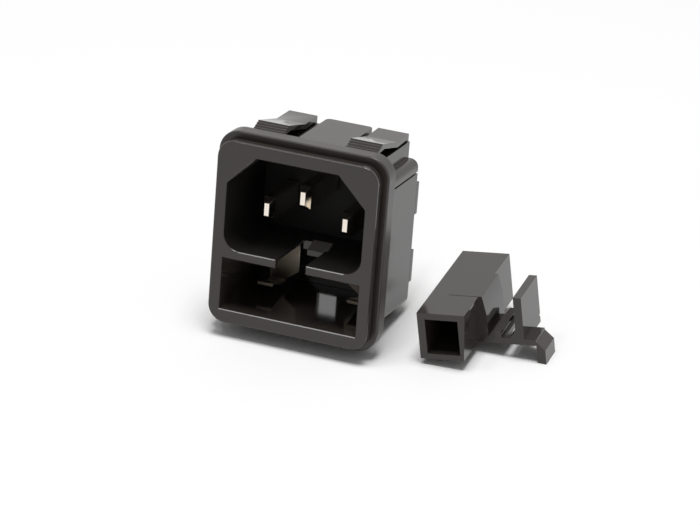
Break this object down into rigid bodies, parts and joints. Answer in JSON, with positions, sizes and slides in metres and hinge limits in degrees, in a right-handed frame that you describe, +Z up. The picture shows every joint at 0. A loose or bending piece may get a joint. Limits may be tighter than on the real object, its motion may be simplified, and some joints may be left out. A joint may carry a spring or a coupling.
{
  "type": "fused panel inlet socket",
  "caption": "Snap-in mains panel inlet with a three-pin recess, a fuse compartment below it and its fuse drawer taken out beside it.",
  "frame": {"origin": "centre of the panel cut-out, on the rear face of the flange", "axes": "+Y into the panel, +Z up when mounted, +X to the right seen from the front"},
  "size_m": [0.056, 0.0299, 0.0348],
  "materials": {
    "housing_plastic": "fine satin moulded black",
    "cover_plastic": "fine satin moulded black",
    "drawer_plastic": "fine satin moulded black",
    "plated_pins": "satin nickel plating on brass",
    "plated_terminals": "tinned brass sheet",
    "plated_clips": "tinned spring sheet"
  },
  "bodies": {
    "root": {"housing": "housing_plastic", "rear_cover": "cover_plastic", "line_pin": "plated_pins", "neutral_pin": "plated_pins", "earth_pin": "plated_pins", "neutral_tab": "plated_terminals", "earth_tab": "plated_terminals", "line_fuse_contact": "plated_clips", "load_fuse_contact": "plated_clips", "fuse_drawer": "drawer_plastic"}
  },
  "joints": []
}
